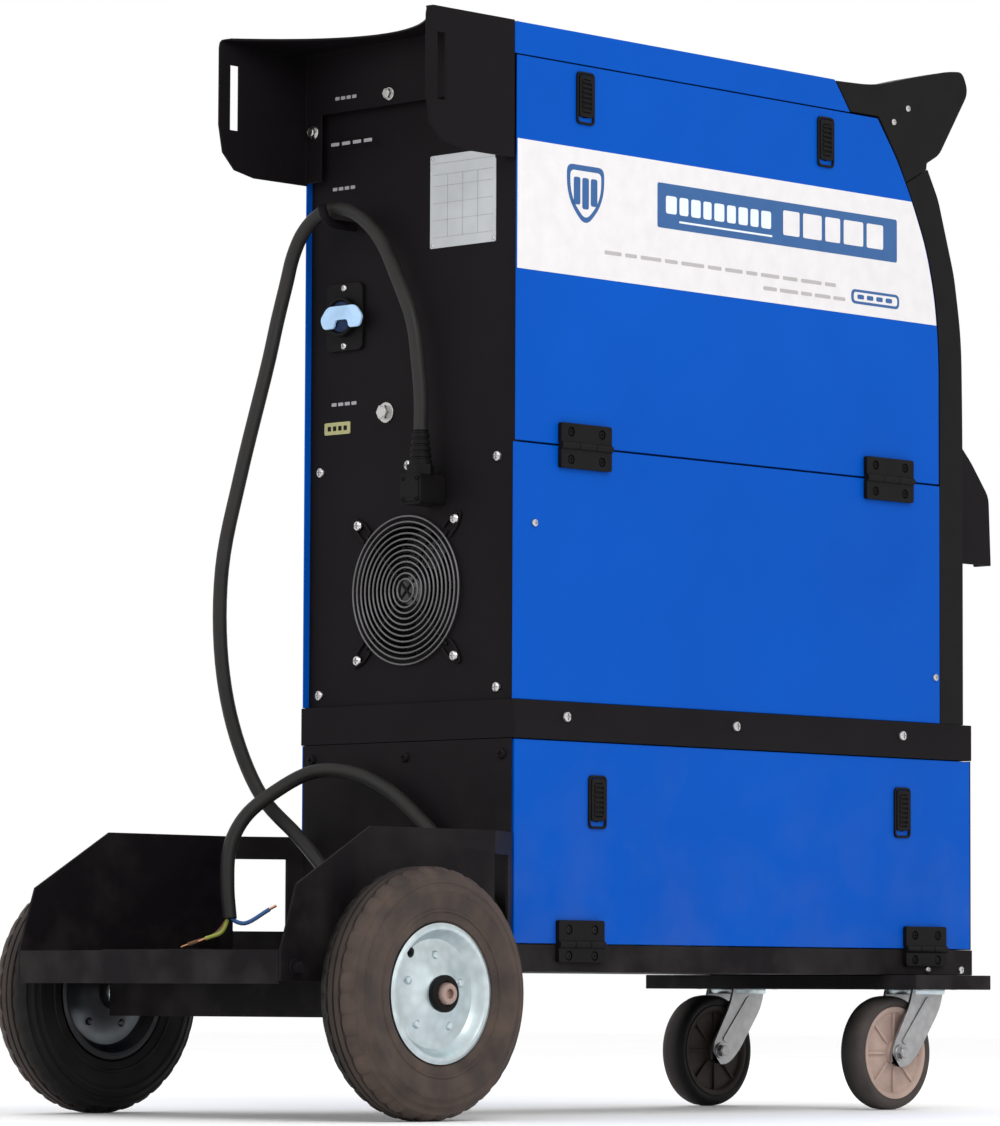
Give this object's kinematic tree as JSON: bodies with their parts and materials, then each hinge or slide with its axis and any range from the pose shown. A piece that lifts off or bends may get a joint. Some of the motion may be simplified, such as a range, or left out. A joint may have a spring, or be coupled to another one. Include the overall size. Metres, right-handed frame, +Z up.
{
  "type": "mig welder on cart",
  "caption": "Upright MIG welder in a sheet-metal cabinet on a wheeled cart, with drop-down side doors, a water cooler below and a rear shelf for a gas cylinder.",
  "frame": {"origin": "on the floor under the centre of the machine's outer box", "axes": "+Z up, front control panel towards -Y, the side with the doors towards -X"},
  "size_m": [0.554, 1.15, 1.1634],
  "materials": {
    "blue_paint": "satin blue powder coat",
    "black_paint": "fine textured black powder coat",
    "moulded_plastic": "black moulded plastic with a light grain",
    "zinc_steel": "bright zinc plate",
    "tyre_rubber": "matt dark grey rubber with moulded rings",
    "caster_rubber": "grey rubber tread on a plastic core",
    "white_plastic": "off-white moulded plastic",
    "grey_metal": "light grey paint and bare metal",
    "copper_wire": "copper-coated welding wire",
    "cable_rubber": "dull black cable sheath",
    "bare_cores": "stripped cable cores"
  },
  "bodies": {
    "chassis": {"base_frame": "black_paint", "caster_plate": "black_paint", "shelf_tray": "black_paint", "shelf_side_left": "black_paint", "shelf_side_right": "black_paint", "cooler_rear_panel": "black_paint", "cooler_front_panel": "black_paint", "deck_frame": "black_paint", "rear_panel": "black_paint", "cylinder_saddle": "black_paint", "torch_guard": "black_paint", "cooler_right_panel": "blue_paint", "side_panel_left": "blue_paint", "side_panel_right": "blue_paint", "top_cover": "blue_paint", "front_bezel": "moulded_plastic", "front_handle": "moulded_plastic", "cable_gland": "moulded_plastic", "power_socket_positive": "moulded_plastic", "power_socket_negative": "moulded_plastic", "fan_frame": "moulded_plastic", "spool_spindle": "moulded_plastic", "wheel_axle": "zinc_steel", "caster_head_left": "zinc_steel", "caster_head_right": "zinc_steel", "fan_guard": "zinc_steel", "coolant_tank": "white_plastic", "partition_wall": "grey_metal", "power_module": "grey_metal", "feed_drive": "grey_metal", "coolant_pump": "grey_metal", "torch_socket": "grey_metal", "heater_socket": "moulded_plastic", "mains_cable": "cable_rubber", "mains_cable_end": "bare_cores"},
    "rear_wheel_left": {"rear_tyre_left": "tyre_rubber", "rear_rim_left": "zinc_steel"},
    "rear_wheel_right": {"rear_tyre_right": "tyre_rubber", "rear_rim_right": "zinc_steel"},
    "caster_swivel_left": {"caster_fork_left": "zinc_steel"},
    "caster_swivel_right": {"caster_fork_right": "zinc_steel"},
    "caster_roller_left": {"caster_wheel_left": "caster_rubber"},
    "caster_roller_right": {"caster_wheel_right": "caster_rubber"},
    "feeder_door_set": {"feeder_door": "blue_paint", "feeder_hinge_rear": "moulded_plastic", "feeder_hinge_front": "moulded_plastic"},
    "feeder_latch_rear_slide": {"feeder_latch_rear": "moulded_plastic"},
    "feeder_latch_front_slide": {"feeder_latch_front": "moulded_plastic"},
    "cooler_door_set": {"cooler_door": "blue_paint", "cooler_hinge_rear": "moulded_plastic", "cooler_hinge_front": "moulded_plastic"},
    "cooler_latch_rear_slide": {"cooler_latch_rear": "moulded_plastic"},
    "cooler_latch_front_slide": {"cooler_latch_front": "moulded_plastic"},
    "fan_wheel": {"fan_rotor": "moulded_plastic"},
    "spool_set": {"wire_spool": "copper_wire"},
    "feed_roll": {"drive_roll": "zinc_steel"},
    "tension_arm": {"pressure_arm": "moulded_plastic"},
    "switch_handle": {"mains_switch": "moulded_plastic"},
    "voltage_dial": {"voltage_knob": "moulded_plastic"},
    "wire_speed_dial": {"wire_speed_knob": "moulded_plastic"}
  },
  "joints": [
    {"name": "rear_wheel_left_spin", "type": "hinge", "parent": "chassis", "child": "rear_wheel_left", "pos_m": [-0.2394, 0.4245, 0.125], "axis": [1, 0, 0], "continuous": true},
    {"name": "caster_left_swivel", "type": "hinge", "parent": "chassis", "child": "caster_swivel_left", "pos_m": [-0.132, -0.459, 0.13], "axis": [0, 0, 1], "continuous": true},
    {"name": "caster_left_roll", "type": "hinge", "parent": "caster_swivel_left", "child": "caster_roller_left", "pos_m": [-0.132, -0.407, 0.0625], "axis": [1, 0, 0], "continuous": true},
    {"name": "rear_wheel_right_spin", "type": "hinge", "parent": "chassis", "child": "rear_wheel_right", "pos_m": [0.2394, 0.4245, 0.125], "axis": [1, 0, 0], "continuous": true},
    {"name": "caster_right_swivel", "type": "hinge", "parent": "chassis", "child": "caster_swivel_right", "pos_m": [0.132, -0.459, 0.13], "axis": [0, 0, 1], "continuous": true},
    {"name": "caster_right_roll", "type": "hinge", "parent": "caster_swivel_right", "child": "caster_roller_right", "pos_m": [0.132, -0.407, 0.0625], "axis": [1, 0, 0], "continuous": true},
    {"name": "feeder_door_drop", "type": "hinge", "parent": "chassis", "child": "feeder_door_set", "pos_m": [-0.1595, -0.1375, 0.693], "axis": [0, -1, 0], "range_deg": [0, 150]},
    {"name": "cooler_door_drop", "type": "hinge", "parent": "chassis", "child": "cooler_door_set", "pos_m": [-0.1595, -0.166, 0.1763], "axis": [0, -1, 0], "range_deg": [0, 95]},
    {"name": "feeder_latch_rear_press", "type": "slide", "parent": "feeder_door_set", "child": "feeder_latch_rear_slide", "axis": [0, 0, -1], "range_m": [0, 0.005], "stiffness_N_per_m": 300},
    {"name": "feeder_latch_front_press", "type": "slide", "parent": "feeder_door_set", "child": "feeder_latch_front_slide", "axis": [0, 0, -1], "range_m": [0, 0.005], "stiffness_N_per_m": 300},
    {"name": "cooler_latch_rear_press", "type": "slide", "parent": "cooler_door_set", "child": "cooler_latch_rear_slide", "axis": [0, 0, -1], "range_m": [0, 0.005], "stiffness_N_per_m": 300},
    {"name": "cooler_latch_front_press", "type": "slide", "parent": "cooler_door_set", "child": "cooler_latch_front_slide", "axis": [0, 0, -1], "range_m": [0, 0.005], "stiffness_N_per_m": 300},
    {"name": "fan_spin", "type": "hinge", "parent": "chassis", "child": "fan_wheel", "pos_m": [0.006, 0.185, 0.546], "axis": [0, 1, 0], "continuous": true},
    {"name": "spool_spin", "type": "hinge", "parent": "chassis", "child": "spool_set", "pos_m": [-0.078, 0.03, 0.872], "axis": [1, 0, 0], "continuous": true},
    {"name": "feed_roll_spin", "type": "hinge", "parent": "chassis", "child": "feed_roll", "pos_m": [-0.016, -0.352, 0.742], "axis": [1, 0, 0], "continuous": true},
    {"name": "tension_arm_lift", "type": "hinge", "parent": "chassis", "child": "tension_arm", "pos_m": [-0.018, -0.292, 0.782], "axis": [-1, 0, 0], "range_deg": [0, 60]},
    {"name": "mains_switch_turn", "type": "hinge", "parent": "chassis", "child": "switch_handle", "pos_m": [0.095, -0.5225, 0.64], "axis": [0, -1, 0], "range_deg": [0, 90]},
    {"name": "voltage_knob_turn", "type": "hinge", "parent": "chassis", "child": "voltage_dial", "pos_m": [0.075, -0.48814, 0.9668], "axis": [0, -0.9493, 0.3145], "range_deg": [-150, 150]},
    {"name": "wire_speed_knob_turn", "type": "hinge", "parent": "chassis", "child": "wire_speed_dial", "pos_m": [-0.075, -0.48814, 0.9668], "axis": [0, -0.9493, 0.3145], "range_deg": [-150, 150]}
  ]
}
